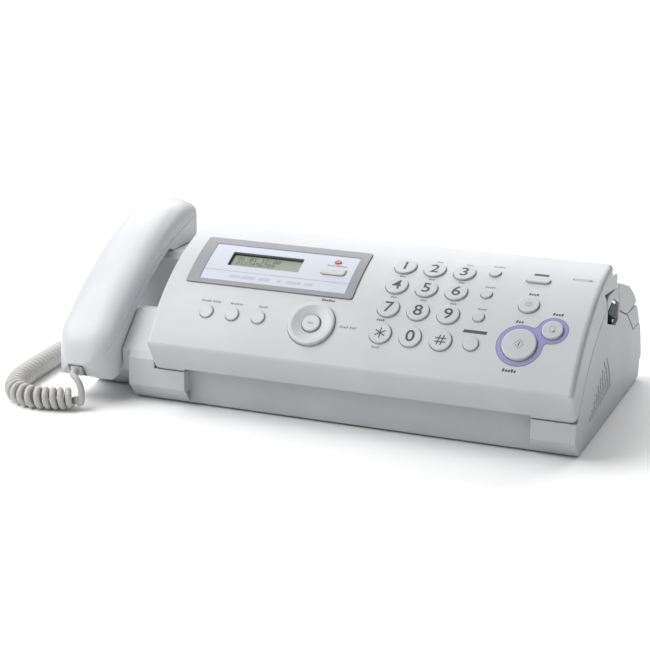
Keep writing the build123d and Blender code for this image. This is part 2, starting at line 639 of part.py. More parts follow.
def front_cover():
    """Front cover: curved key panel, lip, side walls, ears and the posts under the panel."""
    cover = rounded_envelope() - prism(cover_hollow(), -COVER_WIDTH + WALL, -WALL)
    cover -= block((-COVER_WIDTH + WALL, -WALL), (COVER_REAR_Y - 4.0, COVER_REAR_Y + 1.0), (80.0, 95.5))
    cover -= block((RECESS_LEFT, RECESS_RIGHT), (-5.0, 10.0), (20.0, LIP_BOTTOM_Z + 1.7))
    cover -= lip_corners()
    cover += ears()
    board_r = PANEL_R - BOARD_DEPTH
    for x, angle in BOARD_POSTS:
        cover += radial_hole(x, angle, Circle(2.5), board_r, PANEL_R - 1.2)
    for x_low in (-259.5, -33.0):
        cover += prism(band(125.5, PANEL_R - 1.2, 13.5, 20.0), x_low, x_low + 2.5)
    seat = prism(band(PANEL_R - DISPLAY_SEAT, PANEL_R + 5.0, DISPLAY_TOP_ANGLE, DISPLAY_LOW_ANGLE),
                 DISPLAY_LEFT, DISPLAY_RIGHT)
    cover -= seat & display_corners(0.0)
    cover -= radial_hole(LCD_X, LCD_ANGLE, Rectangle(59.4, 20.2), 138.0)
    cover -= radial_hole(LAMP_X, LAMP_ANGLE, Ellipse(2.5, 1.8), 138.0)
    for x, angle, shape, rise in KEYS.values():
        cover -= radial_hole(x, angle, offset(shape, KEY_CLEARANCE), 138.0)
    return cover


# ---------------------------------------------------------------- display
DISPLAY_MIDDLE_ANGLE = (DISPLAY_TOP_ANGLE + DISPLAY_LOW_ANGLE) / 2
INNER_PANEL = ((-266.9, -162.8), (21.6, 35.2))      # sunk middle of the frame: x range, angle range


def display_corners(inset):
    """Rounded rectangle through the panel that trims the display frame's corners."""
    chord = 2 * PANEL_R * math.sin(math.radians(DISPLAY_LOW_ANGLE - DISPLAY_TOP_ANGLE) / 2) - 2 * inset
    shape = RectangleRounded(DISPLAY_RIGHT - DISPLAY_LEFT - 2 * inset, chord, DISPLAY_CORNER_R)
    return radial_hole((DISPLAY_LEFT + DISPLAY_RIGHT) / 2, DISPLAY_MIDDLE_ANGLE, shape, 138.0)


def display_panel():
    """Frame around the display, with the display window, the lamp hole and the key hole."""
    low_r = PANEL_R - DISPLAY_SEAT
    high_r = PANEL_R + DISPLAY_RISE
    plate = prism(band(low_r, high_r, DISPLAY_TOP_ANGLE, DISPLAY_LOW_ANGLE), DISPLAY_LEFT, DISPLAY_RIGHT)
    plate = plate & display_corners(0.15)
    sunk = prism(band(high_r - 0.35, high_r + 1.0, *INNER_PANEL[1]), *INNER_PANEL[0])
    plate -= sunk
    plate -= radial_hole(LCD_X, LCD_ANGLE, RectangleRounded(*LCD_WINDOW, 0.8), 138.0)
    plate -= radial_hole(LAMP_X, LAMP_ANGLE, Ellipse(2.5, 1.8), 138.0)
    x, angle, shape, rise = KEYS["auto_answer_key"]
    return plate - radial_hole(x, angle, offset(shape, KEY_CLEARANCE), 138.0)


def lcd_module():
    """Liquid crystal display with its metal frame."""
    top_r = PANEL_R - DISPLAY_SEAT - 0.5
    frame = radial_hole(LCD_X, LCD_ANGLE, Rectangle(58.6, 19.4), top_r - 3.6, top_r)
    return frame + radial_hole(LCD_X, LCD_ANGLE, Rectangle(60.6, 10.0), top_r - 6.4, top_r - 3.6)


def answer_lamp():
    """Oval light guide of the auto-answer lamp."""
    return radial_hole(LAMP_X, LAMP_ANGLE, Ellipse(2.3, 1.6), PANEL_R - 4.6, PANEL_R + DISPLAY_RISE + 0.5)


def keypad_board():
    """Curved switch sheet under the keys, with a cut-out for the display."""
    outer_r = PANEL_R - BOARD_DEPTH
    sheet = prism(band(outer_r - BOARD_THICKNESS, outer_r, 20.5, 53.0), -284.0, -6.0)
    return sheet - radial_hole(LCD_X, LCD_ANGLE, Rectangle(64.0, 23.0), 125.0)


def image_sensor():
    """Contact image sensor bar over the document feed roller."""
    bar = radial_hole(-145.0, 22.0, Rectangle(224.0, 17.0), 124.6, 135.0)
    return bar - radial_hole(-145.0, 22.0, Rectangle(216.0, 6.0), 124.0, 125.2)


# ---------------------------------------------------------------- keys
def key_table():
    """Each key: x, angle on the panel, outline, rise above the panel."""
    table = {}
    names = ("1", "2", "3", "4", "5", "6", "7", "8", "9", "star", "0", "hash")
    for index, name in enumerate(names):
        place = (DIAL_X[index % 3], DIAL_ANGLES[index // 3])
        table[f"key_{name}"] = (*place, Circle(DIAL_DIAMETER / 2), 1.3)
    for name, angle in (("redial", 21.7), ("flash", 29.9), ("mute", 37.5)):
        table[f"{name}_key"] = (-70.6, angle, Circle(3.7), 1.2)
    table["monitor_key"] = (-70.6, 45.4, Circle(4.9), 1.2)
    for name, x in (("broadcast", -252.9), ("report", -234.4), ("menu", -215.8)):
        table[f"{name}_key"] = (x, 45.2, Circle(4.6), 1.2)
    table["caller_id_key"] = (-41.3, 22.8, RectangleRounded(15.8, 5.6, 2.7), 1.3)
    table["stop_key"] = (-41.4, 32.0, Circle(6.7), 1.4)
    table["copy_key"] = (-21.8, 39.0, Circle(6.8), 1.6)
    table["start_key"] = (-40.1, 44.1, Circle(11.1), 1.8)
    table["navigator_key"] = (-178.3, 45.1, Circle(15.9), 2.0)
    table["set_key"] = (-178.3, 45.1, Circle(RING_HOLE_R - 0.5), 1.6)
    table["auto_answer_key"] = (-176.7, 28.1, RectangleRounded(17.0, 6.4, 2.2), 1.7)
    return table


KEYS = key_table()


def key(name):
    """One key: cap with a rounded rim, hidden flange and switch foot."""
    x, angle, shape, rise = KEYS[name]
    plane = panel_plane(x, angle)
    cap = extrude(plane.offset(-FLANGE_DEPTH) * shape, amount=FLANGE_DEPTH + rise)
    rim = cap.faces().sort_by(lambda face: face.center().dot(plane.z_dir))[-1].edges()
    cap = fillet(rim, min(1.2, rise / 2))
    margin = 0.3 if name == "set_key" else 1.4
    flange = extrude(plane.offset(-FLANGE_DEPTH - FLANGE_THICKNESS) * offset(shape, margin),
                     amount=FLANGE_THICKNESS)
    body = cap + flange
    if name == "navigator_key":
        body -= extrude(plane.offset(-10.0) * Circle(RING_HOLE_R), amount=20.0)
        dish = Solid.make_cone(RING_HOLE_R, 13.2, 1.9, plane=plane.offset(rise - 1.85))
        body -= dish
    return body


# ---------------------------------------------------------------- handset
SEAM = [(-21.5, 27.0), (-13.0, 35.5), (-1.0, 44.5), (17.0, 57.5), (32.0, 68.0), (55.0, 80.5), (79.0, 90.5),
        (103.0, 97.5), (129.5, 103.0)]
CROWN = [(129.5, 103.0), (126.0, 110.5), (116.0, 114.0), (104.0, 114.2), (88.0, 110.2), (65.0, 101.0),
         (40.0, 87.5), (16.0, 71.5), (-5.0, 54.5), (-16.5, 42.0), (-21.5, 27.0)]
UNDERSIDE = [(129.5, 102.4), (128.5, 94.0), (121.0, 84.6), (84.5, 84.0), (78.0, 86.6), (63.0, 79.8), (47.0, 70.8),
             (34.0, 62.0), (22.5, 52.3), (13.0, 38.2), (4.5, 23.8), (-2.0, 16.4), (-9.0, 14.8), (-16.0, 18.0),
             (-21.4, 26.4)]


def handset_plan():
    """Upright prism with the handset's plan: rounded mouth end, blunt ear end."""
    left, right, middle = HANDSET_LEFT, HANDSET_RIGHT, HANDSET_MIDDLE
    ear_end = 129.6
    front_y = MOUTH_ROUND - FRONT_REACH - 0.5      # the nose itself is cut off flat
    front = CenterArc((middle, front_y), MOUTH_ROUND, 180, 180)
    sides = Polyline((right, front_y), (right, ear_end), (left, ear_end), (left, front_y))
    outline = make_face([front, sides])
    corners = [v for v in outline.vertices() if v.Y > ear_end - 1.0]
    return extrude(fillet(corners, EAR_CORNER), amount=150.0)


def back_profile():
    """Side view of the handset's back shell, between seam and crown."""
    seam = Spline([(y, z + 0.15) for y, z in SEAM])
    crown = Spline([(y, z + 0.15) for y, z in CROWN])
    return make_face([seam, crown])


def handset_back():
    """Outer shell of the handset, crowned across its width."""
    solid = prism(back_profile(), HANDSET_LEFT, HANDSET_RIGHT)
    solid = solid & handset_plan()
    crown_edges = [edge for edge in solid.edges() if crown_side(edge)]
    return fillet(crown_edges, 6.0)


def crown_side(edge):
    """True for the edges where the back shell's crown meets its sides."""
    middle = edge.position_at(0.5)
    at_side = min(abs(middle.X - HANDSET_LEFT), abs(middle.X - HANDSET_RIGHT)) < 0.5
    return at_side and edge.length > 60.0 and middle.Z > 85.0


def handset_face():
    """Inner shell of the handset with earpiece cap, mouthpiece and cord socket."""
    seam = Spline([(y, z - 0.15) for y, z in SEAM])
    under = Polyline((SEAM[-1][0], SEAM[-1][1] - 0.15), *UNDERSIDE, (SEAM[0][0], SEAM[0][1] - 0.15))
    solid = prism(make_face([seam, under]), HANDSET_LEFT, HANDSET_RIGHT) & handset_plan()
    cap = Pos(HANDSET_MIDDLE, EAR_Y, 82.9) * Cylinder(EAR_CAP_R, 3.6)
    solid += fillet(cap.edges().group_by(Axis.Z)[0], 1.0)
    solid -= Pos(HANDSET_MIDDLE, EAR_Y, 94.5) * Cylinder(14.4, 16.0)
    solid -= Pos(HANDSET_MIDDLE, 2.0, 41.0) * Cylinder(5.4, 20.0)
    for index in range(6):
        turn = math.radians(60.0 * index)
        solid -= Pos(HANDSET_MIDDLE + 6.0 * math.cos(turn), EAR_Y + 6.0 * math.sin(turn), 84.0) * Cylinder(0.9, 8.0)
    for step in (-2.5, 0.0, 2.5):
        solid -= Pos(HANDSET_MIDDLE + step, 2.0, 26.0) * Cylinder(0.7, 12.0)
    return solid - block((PLUG_X - 5.85, PLUG_X + 5.85), (-25.0, -9.4), (17.6, 26.2))


def handset_capsules():
    """Receiver and microphone capsules."""
    receiver = Pos(HANDSET_MIDDLE, EAR_Y, 89.9) * Cylinder(14.0, 6.4)
    microphone = Pos(HANDSET_MIDDLE, 2.0, 34.0) * Cylinder(5.0, 5.0)
    return Compound(children=[receiver.solid(), microphone.solid()])


# ---------------------------------------------------------------- handset cord
LEAD_POINTS = [(PLUG_X, -20.5, 21.8), (PLUG_X, -27.0, 21.8), (-331.8, -29.6, 19.0), (-328.3, -30.8, 12.5),
               (-328.5, -31.4, 1.4)]
COIL_POINTS = [(-332.2, -31.5), (-346.0, -36.0), (-361.0, -38.5), (-376.0, -31.0), (-387.5, -11.0),
               (-392.5, 18.0), (-394.5, 52.0), (-393.6, 88.0), (-390.0, 118.0)]
TAIL_POINTS = [(-390.0, 118.0, COIL_Z), (-388.6, 129.6, COIL_Z), (-378.5, 138.5, 9.8), (-364.5, 140.0, 13.0),
               (-351.6, 140.0, 13.0)]


def bend_radii(points):
    """Largest tangent arc that each corner's two runs allow."""
    radii = []
    for before, here, after in zip(points[:-2], points[1:-1], points[2:]):
        first = Vector(*here) - Vector(*before)
        second = Vector(*after) - Vector(*here)
        half_turn = math.radians(first.get_angle(second)) / 2
        radii.append(0.45 * min(first.length, second.length) / math.tan(half_turn))
    return radii


def tube(points, diameter):
    """Round tube along straight runs joined by tangent arcs."""
    radii = bend_radii(points)
    path = FilletPolyline(*points, radius=radii)
    solid = sweep(Plane(origin=path @ 0, z_dir=path % 0) * Circle(diameter / 2), path=path)
    section = math.pi * diameter ** 2 / 4
    print("bend radii", [round(r, 1) for r in radii], "length", round(path.length, 1),
          "volume ratio", round(solid.volume / (section * path.length), 4))
    return solid


def cord_lead():
    """Straight end of the cord from the handset's socket down to the coil."""
    return tube(LEAD_POINTS, CORD_DIAMETER)


def cord_coil():
    """Outer shape of the coiled stretch, lying on the surface beside the handset."""
    return tube([(x, y, COIL_Z) for x, y in COIL_POINTS], COIL_DIAMETER)


def cord_tail():
    """Straight end of the cord from the coil to the socket in the cradle's left wall."""
    return tube(TAIL_POINTS, CORD_DIAMETER)


def handset_plug():
    """Modular plug in the handset."""
    plug = block((PLUG_X - 3.9, PLUG_X + 3.9), (-20.5, -9.4), (18.7, 25.0))
    return plug + block((PLUG_X - 1.5, PLUG_X + 1.5), (-19.5, -12.0), (25.0, 26.0))


def base_plug():
    """Modular plug in the cradle's socket."""
    plug = block((-351.6, -339.5), (JACK_Y - 3.9, JACK_Y + 3.9), (9.8, 16.1))
    return plug + block((-350.0, -343.0), (JACK_Y - 1.5, JACK_Y + 1.5), (16.1, 17.0))


# ---------------------------------------------------------------- export
def main():
    os.makedirs("parts", exist_ok=True)
    nodes = {
        "main_casing": main_casing(), "base_plate": base_plate(), "rubber_feet": rubber_feet(),
        "casing_screws": casing_screws(), "main_board": main_board(), "loudspeaker": loudspeaker(),
        "sockets": sockets(), "thermal_head": thermal_head(), "drive_motor": drive_motor(),
        "rear_paper_guide": rear_paper_guide(), "hook_switch": hook_switch(),
        "platen_roller": platen_roller(), "platen_gear": platen_gear(),
        "film_supply_roll": film_supply_roll(), "film_takeup_roll": film_takeup_roll(),
        "release_lever": release_lever(), "back_cover": back_cover(),
        "document_guide_left": document_guide(-254.0, -1), "document_guide_right": document_guide(-36.0, 1),
        "front_cover": front_cover(), "display_panel": display_panel(), "lcd_module": lcd_module(),
        "answer_lamp": answer_lamp(), "keypad_board": keypad_board(), "image_sensor": image_sensor(),
        "feed_roller": feed_roller(), "handset_back": handset_back(), "handset_face": handset_face(),
        "handset_capsules": handset_capsules(), "handset_plug": handset_plug(), "cord_lead": cord_lead(),
        "cord_coil": cord_coil(), "cord_tail": cord_tail(), "base_plug": base_plug(),
    }
    for name in KEYS:
        nodes[name] = key(name)
    for name, shape in nodes.items():
        export(shape, name)


main()
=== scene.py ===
"""Looks of the desktop fax machine: camera, cord, light, materials, handset, print and small fittings."""
import bmesh
import bpy
import math
from mathutils import Matrix, Vector


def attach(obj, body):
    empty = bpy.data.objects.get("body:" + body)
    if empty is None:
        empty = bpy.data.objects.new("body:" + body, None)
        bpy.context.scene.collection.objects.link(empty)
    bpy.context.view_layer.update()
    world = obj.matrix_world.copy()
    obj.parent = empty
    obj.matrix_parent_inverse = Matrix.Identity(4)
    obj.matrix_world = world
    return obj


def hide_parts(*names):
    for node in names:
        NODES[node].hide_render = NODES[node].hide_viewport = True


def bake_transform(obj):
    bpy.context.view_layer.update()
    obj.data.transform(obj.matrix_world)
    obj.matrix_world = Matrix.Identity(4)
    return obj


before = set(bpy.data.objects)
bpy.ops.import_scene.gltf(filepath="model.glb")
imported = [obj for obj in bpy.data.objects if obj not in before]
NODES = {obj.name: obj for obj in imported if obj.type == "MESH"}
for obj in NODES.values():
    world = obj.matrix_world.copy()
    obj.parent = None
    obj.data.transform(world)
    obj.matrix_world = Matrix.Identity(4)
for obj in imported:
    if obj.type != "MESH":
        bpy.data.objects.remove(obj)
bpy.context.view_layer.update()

# The casing's own drawing axes, in mm: x from the right side face, y back from the base's front face,
# z up from its underside.
ROW_SHIFT = Vector((178.5, -85.25, 1.5))
PANEL_Y = 109.33
PANEL_Z = -37.48
PANEL_R = 147.42


def place(x, y, z):
    """Point of the casing drawing, in row-frame metres."""
    return (Vector((x, y, z)) + ROW_SHIFT) / 1000


# ---------------------------------------------------------------- camera
def make_camera():
    azimuth, elevation, roll = math.radians(21.326), math.radians(16.215), math.radians(0.656)
    right = Vector((math.cos(azimuth), math.sin(azimuth), 0))
    forward = Vector((-math.sin(azimuth) * math.cos(elevation), math.cos(azimuth) * math.cos(elevation),
                      -math.sin(elevation)))
    up = right.cross(forward)
    across = math.cos(roll) * right + math.sin(roll) * up
    upward = -math.sin(roll) * right + math.cos(roll) * up
    data = bpy.data.cameras.new("camera")
    data.sensor_width = 36
    data.lens = 99.19
    data.clip_start = 0.05
    camera = bpy.data.objects.new("camera", data)
    camera.matrix_world = Matrix((across, upward, -forward)).transposed().to_4x4()
    camera.location = place(234.2, -1027.5, 389.2)
    bpy.context.scene.collection.objects.link(camera)
    bpy.context.scene.camera = camera


make_camera()


# ---------------------------------------------------------------- materials
def linear(*srgb):
    """Colour given as sRGB 0 to 255, as linear values."""
    values = [c / 255 for c in srgb]
    return tuple(c / 12.92 if c <= 0.04045 else ((c + 0.055) / 1.055) ** 2.4 for c in values) + (1.0,)


def new_material(name):
    material = bpy.data.materials.new(name)
    material.use_nodes = True
    return material, material.node_tree, material.node_tree.nodes["Principled BSDF"]


def noise(tree, scale, detail=2.0, stretch=None):
    """Noise in the object's own metres; stretch is a scale for each axis."""
    coords = tree.nodes.new("ShaderNodeTexCoord")
    source = coords.outputs["Object"]
    if stretch:
        mapping = tree.nodes.new("ShaderNodeMapping")
        mapping.inputs["Scale"].default_value = stretch
        tree.links.new(source, mapping.inputs["Vector"])
        source = mapping.outputs["Vector"]
    texture = tree.nodes.new("ShaderNodeTexNoise")
    texture.inputs["Scale"].default_value = scale
    texture.inputs["Detail"].default_value = detail
    tree.links.new(source, texture.inputs["Vector"])
    return texture.outputs["Fac"]


def between(tree, factor, low, high, low_at=0.3, high_at=0.7):
    """Colour ramp driven by a factor."""
    ramp = tree.nodes.new("ShaderNodeValToRGB")
    ramp.color_ramp.elements[0].position = low_at
    ramp.color_ramp.elements[1].position = high_at
    ramp.color_ramp.elements[0].color = low
    ramp.color_ramp.elements[1].color = high
    tree.links.new(factor, ramp.inputs["Fac"])
    return ramp.outputs["Color"]


def ranged(tree, factor, low, high):
    spread = tree.nodes.new("ShaderNodeMapRange")
    spread.inputs["To Min"].default_value = low
    spread.inputs["To Max"].default_value = high
    tree.links.new(factor, spread.inputs["Value"])
    return spread.outputs["Result"]


def shade(colour, factor):
    return tuple(c * factor for c in colour[:3]) + (1.0,)


def plastic(name, colour, roughness=0.45, grain=2600.0, relief=0.00004, mottle=0.05, edge=0.0, coat=0.0):
    """Moulded plastic: fine spark-eroded grain, faint flow mottling and uneven gloss."""
    material, tree, shader = new_material(name)
    cloud = noise(tree, 22.0, 3.0)
    colour_out = between(tree, cloud, shade(colour, 1 - mottle), shade(colour, 1 + mottle / 2))
    tree.links.new(colour_out, shader.inputs["Base Color"])
    tree.links.new(ranged(tree, noise(tree, 60.0, 4.0), roughness - 0.06, roughness + 0.06),
                   shader.inputs["Roughness"])
    bump = tree.nodes.new("ShaderNodeBump")
    bump.inputs["Strength"].default_value = 0.5
    bump.inputs["Distance"].default_value = relief
    tree.links.new(noise(tree, grain, 2.0), bump.inputs["Height"])
    if edge:
        soft = tree.nodes.new("ShaderNodeBevel")
        soft.samples = 6
        soft.inputs["Radius"].default_value = edge
        tree.links.new(soft.outputs["Normal"], bump.inputs["Normal"])
    tree.links.new(bump.outputs["Normal"], shader.inputs["Normal"])
    shader.inputs["Specular IOR Level"].default_value = 0.45
    if coat:
        shader.inputs["Coat Weight"].default_value = coat
        shader.inputs["Coat Roughness"].default_value = 0.12
    return material


def metal(name, colour, roughness=0.3, stretch=(6.0, 400.0, 400.0)):
    """Metal with a drawn or brushed grain along one axis."""
    material, tree, shader = new_material(name)
    grain = noise(tree, 8.0, 6.0, stretch)
    tint = between(tree, grain, shade(colour, 0.82), shade(colour, 1.06))
    tree.links.new(tint, shader.inputs["Base Color"])
    tree.links.new(ranged(tree, grain, roughness - 0.08, roughness + 0.12), shader.inputs["Roughness"])
    shader.inputs["Metallic"].default_value = 1.0
    bump = tree.nodes.new("ShaderNodeBump")
    bump.inputs["Strength"].default_value = 0.25
    bump.inputs["Distance"].default_value = 0.00005
    tree.links.new(grain, bump.inputs["Height"])
    tree.links.new(bump.outputs["Normal"], shader.inputs["Normal"])
    return material


def board(name):
    """Green circuit board: copper tracks showing through the solder mask, with pads."""
    material, tree, shader = new_material(name)
    coords = tree.nodes.new("ShaderNodeTexCoord")
    tracks = tree.nodes.new("ShaderNodeTexBrick")
    tracks.inputs["Scale"].default_value = 120.0
    tracks.inputs["Mortar Size"].default_value = 0.035
    tracks.inputs["Color1"].default_value = linear(22, 92, 52)
    tracks.inputs["Color2"].default_value = linear(18, 78, 44)
    tracks.inputs["Mortar"].default_value = linear(60, 140, 80)
    tree.links.new(coords.outputs["Object"], tracks.inputs["Vector"])
    pads = tree.nodes.new("ShaderNodeTexVoronoi")
    pads.inputs["Scale"].default_value = 260.0
    tree.links.new(coords.outputs["Object"], pads.inputs["Vector"])
    where = between(tree, pads.outputs["Distance"], (1, 1, 1, 1), (0, 0, 0, 1), 0.1, 0.14)
    mix = tree.nodes.new("ShaderNodeMix")
    mix.data_type = "RGBA"
    mix.inputs["B"].default_value = linear(190, 190, 180)
    tree.links.new(where, mix.inputs["Factor"])
    tree.links.new(tracks.outputs["Color"], mix.inputs["A"])
    tree.links.new(mix.outputs["Result"], shader.inputs["Base Color"])
    tree.links.new(ranged(tree, tracks.outputs["Fac"], 0.35, 0.28), shader.inputs["Roughness"])
    bump = tree.nodes.new("ShaderNodeBump")
    bump.inputs["Distance"].default_value = 0.00004
    tree.links.new(tracks.outputs["Fac"], bump.inputs["Height"])
    tree.links.new(bump.outputs["Normal"], shader.inputs["Normal"])
    return material


WHITE = linear(190, 191, 194)
CASING = plastic("casing", WHITE, 0.46, edge=0.0009)
PANEL = plastic("panel", WHITE, 0.42, edge=0.0007)
HANDSET = plastic("handset", linear(202, 203, 206), 0.36, grain=3600.0, relief=0.00002, edge=0.0006)
KEYCAP = plastic("keycap", linear(187, 188, 191), 0.34, grain=4200.0, relief=0.00002, edge=0.0005)
BEZEL = plastic("display_bezel", linear(132, 134, 139), 0.38, grain=3800.0, relief=0.00002)
INNER = plastic("display_inner", linear(188, 192, 203), 0.30, grain=4000.0, relief=0.00001, mottle=0.03)
LAVENDER = plastic("lavender_print", linear(142, 136, 184), 0.40, grain=3200.0, relief=0.00002, mottle=0.04)
LAVENDER_EDGE = plastic("lavender_edge", linear(98, 92, 128), 0.45, mottle=0.04)
INK = plastic("grey_print", linear(66, 68, 73), 0.55, mottle=0.12)
PALE_PRINT = plastic("pale_print", linear(170, 176, 190), 0.4, mottle=0.05)
FAINT = plastic("faint_print", linear(128, 131, 137), 0.5, mottle=0.08)
LCD = plastic("lcd_film", linear(136, 144, 128), 0.25, grain=5200.0, relief=0.00001, mottle=0.06)
LCD_DOT = plastic("lcd_dots", linear(62, 70, 58), 0.35, mottle=0.08)
# Black plastic; also used for the painted shadow band round the LCD glass.
DARK = plastic("black_plastic_and_painted_shadow", linear(28, 28, 30), 0.42, mottle=0.2)
CLOTH = plastic("speaker_cloth", linear(20, 20, 21), 0.9, grain=1400.0, relief=0.0001, mottle=0.3)
LEVER = plastic("green_lever", linear(8, 44, 36), 0.62, mottle=0.12, edge=0.0006)
LAMP = plastic("lamp_lens", linear(205, 78, 66), 0.18, grain=1500.0, relief=0.00001, mottle=0.1, coat=0.6)
BOTTOM = plastic("bottom_plastic", linear(176, 177, 178), 0.55, relief=0.00006, mottle=0.08)
RUBBER = plastic("foot_rubber", linear(44, 44, 45), 0.78, grain=1500.0, relief=0.00012, mottle=0.25)
ROLLER = plastic("roller_rubber", linear(50, 50, 52), 0.62, grain=3000.0, relief=0.00008, mottle=0.15)
GEAR = plastic("gear_plastic", linear(225, 222, 208), 0.4, mottle=0.06)
FILM = plastic("ink_film", linear(20, 20, 24), 0.16, grain=900.0, relief=0.00003, mottle=0.3, coat=0.5)
CORD = plastic("cord_jacket", linear(181, 180, 177), 0.34, grain=2200.0, relief=0.00003, mottle=0.05)
CLEAR = plastic("clear_plug", linear(205, 206, 204), 0.12, grain=1800.0, relief=0.00001, mottle=0.1, coat=0.7)
STEEL = metal("zinc_steel", linear(188, 188, 184), 0.32)
ALUMINIUM = metal("extruded_aluminium", linear(206, 206, 208), 0.28, (3.0, 300.0, 300.0))
PCB = board("circuit_board")

FINISHES = {
    "main_casing": CASING, "rear_paper_guide": CASING, "back_cover": CASING, "front_cover": PANEL,
    "document_guide_left": CASING, "document_guide_right": CASING, "base_plate": BOTTOM,
    "rubber_feet": RUBBER, "casing_screws": STEEL, "main_board": PCB, "keypad_board": PCB,
    "loudspeaker": DARK, "sockets": DARK, "thermal_head": ALUMINIUM, "drive_motor": STEEL,
    "hook_switch": HANDSET, "platen_roller": ROLLER, "feed_roller": ROLLER, "platen_gear": GEAR,
    "film_supply_roll": FILM, "film_takeup_roll": FILM, "release_lever": LEVER, "display_panel": BEZEL,
    "lcd_module": LCD, "answer_lamp": LAMP, "image_sensor": ALUMINIUM, "handset_back": HANDSET,
    "handset_face": HANDSET, "handset_capsules": DARK, "handset_plug": CLEAR, "base_plug": CLEAR,
}
for name, node in NODES.items():
    finish = FINISHES.get(name, KEYCAP)
    node.data.materials.clear()
    node.data.materials.append(finish)


# ---------------------------------------------------------------- making pieces
def piece(name, vertices, faces, material, body, smooth=False):
    mesh = bpy.data.meshes.new(name)
    mesh.from_pydata([tuple(v) for v in vertices], [], faces)
    mesh.update()
    if smooth:
        mesh.polygons.foreach_set("use_smooth", [True] * len(mesh.polygons))
    mesh.materials.append(material)
    made = bpy.data.objects.new(name, mesh)
    bpy.context.scene.collection.objects.link(made)
    if body:
        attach(made, body)
    return made


def read_curve(points):
    """Points along the smooth line that a few control points give, closely spaced."""
    data = bpy.data.curves.new("route", "CURVE")
    data.dimensions = "3D"
    data.resolution_u = 24
    spline = data.splines.new("NURBS")
    spline.points.add(len(points) - 1)
    for target, point in zip(spline.points, points):
        target.co = (*point, 1.0)
    spline.order_u = 3
    spline.use_endpoint_u = True
    route = bpy.data.objects.new("route", data)
    mesh = bpy.data.meshes.new_from_object(route)
    line = [v.co.copy() for v in mesh.vertices]
    bpy.data.objects.remove(route)
    return line


def tube_mesh(path, radius, sides=12):
    """Vertices and faces of a round tube along a path, closed at both ends."""
    vertices, faces = [], []
    ahead = (path[1] - path[0]).normalized()
    side = ahead.orthogonal().normalized()
    for index, point in enumerate(path):
        before = path[max(index - 1, 0)]
        after = path[min(index + 1, len(path) - 1)]
        ahead = (after - before).normalized()
        side = (side - ahead * side.dot(ahead)).normalized()
        other = ahead.cross(side)
        for step in range(sides):
            turn = 2 * math.pi * step / sides
            vertices.append(point + radius * (math.cos(turn) * side + math.sin(turn) * other))
    for ring in range(len(path) - 1):
        for step in range(sides):
            a = ring * sides + step
            b = ring * sides + (step + 1) % sides
            faces.append((a, b, b + sides, a + sides))
    faces.append(tuple(range(sides - 1, -1, -1)))
    last = (len(path) - 1) * sides
    faces.append(tuple(range(last, last + sides)))
    return vertices, faces


# ---------------------------------------------------------------- handset cord
FLOOR_Z = -1.5
COIL_DIAMETER = 15.5
STRAND = 4.5
COIL_Z = FLOOR_Z + COIL_DIAMETER / 2 + 0.02
LEAD_POINTS = [(-338.2, -20.5, 21.8), (-338.2, -27.0, 21.8), (-331.8, -29.6, 19.0), (-328.3, -30.8, 12.5),
               (-328.5, -31.4, 1.4)]
COIL_POINTS = [(-332.2, -31.5), (-346.0, -36.5), (-362.0, -40.0), (-379.0, -33.0), (-389.5, -11.0),
               (-392.5, 18.0), (-394.5, 52.0), (-393.6, 88.0), (-390.0, 118.0)]
TAIL_POINTS = [(-390.0, 118.0, COIL_Z), (-388.6, 129.6, COIL_Z), (-378.5, 138.5, 9.8), (-364.5, 140.0, 13.0),
               (-351.6, 140.0, 13.0)]


STEP = 0.00022                      # metres between the points of the strand
SWELL_RUN = 0.006                   # metres over which the coil opens to its full width
FRONT_RUN = 0.055                   # metres at the front where the coil is a little looser
FRONT_PITCH, REAR_PITCH = 0.0050, 0.00475
LEAST_PITCH = 0.00465


def helix(line, start, end, turn_radius):
    """Centreline of a strand that winds round a line between two distances, and follows it elsewhere."""
    path = []
    ahead = (line[1] - line[0]).normalized()
    side = ahead.orthogonal().normalized()
    phase = 0.0
    travelled = 0.0
    for index in range(len(line) - 1):
        here, there = line[index], line[index + 1]
        run = (there - here).length
        if run < 1e-9:
            continue
        new_ahead = (there - here) / run
        before = line[max(index - 12, 0)]
        after = line[min(index + 13, len(line) - 1)]
        turn = ((after - here).normalized() - (here - before).normalized()).length
        bend = turn / max((after - before).length / 2, 1e-6)
        side = (side - new_ahead * side.dot(new_ahead)).normalized()
        other = new_ahead.cross(side)
        count = max(1, round(run / STEP))
        for part in range(count):
            distance = travelled + run * part / count
            opening = max((distance - start) / SWELL_RUN, 0.0)
            closing = max((end - distance) / SWELL_RUN, 0.0)
            swell = min(opening, closing, 1.0)
            swell = swell * swell * (3 - 2 * swell)
            loose = FRONT_PITCH if distance < start + FRONT_RUN else REAR_PITCH
            pitch = max(loose, LEAST_PITCH / (1 - turn_radius * min(bend, 60.0)))
            if start <= distance <= end:
                phase += 2 * math.pi * (run / count) / pitch
            around = turn_radius * swell * (math.cos(phase) * side + math.sin(phase) * other)
            path.append(here + new_ahead * (run * part / count) + around)
        travelled += run
    path.append(line[-1])
    return path


def resample(path, spacing):
    kept = [path[0]]
    for point in path[1:]:
        if (point - kept[-1]).length >= spacing:
            kept.append(point)
    if (kept[-1] - path[-1]).length > 1e-5:
        kept.append(path[-1])
    return kept


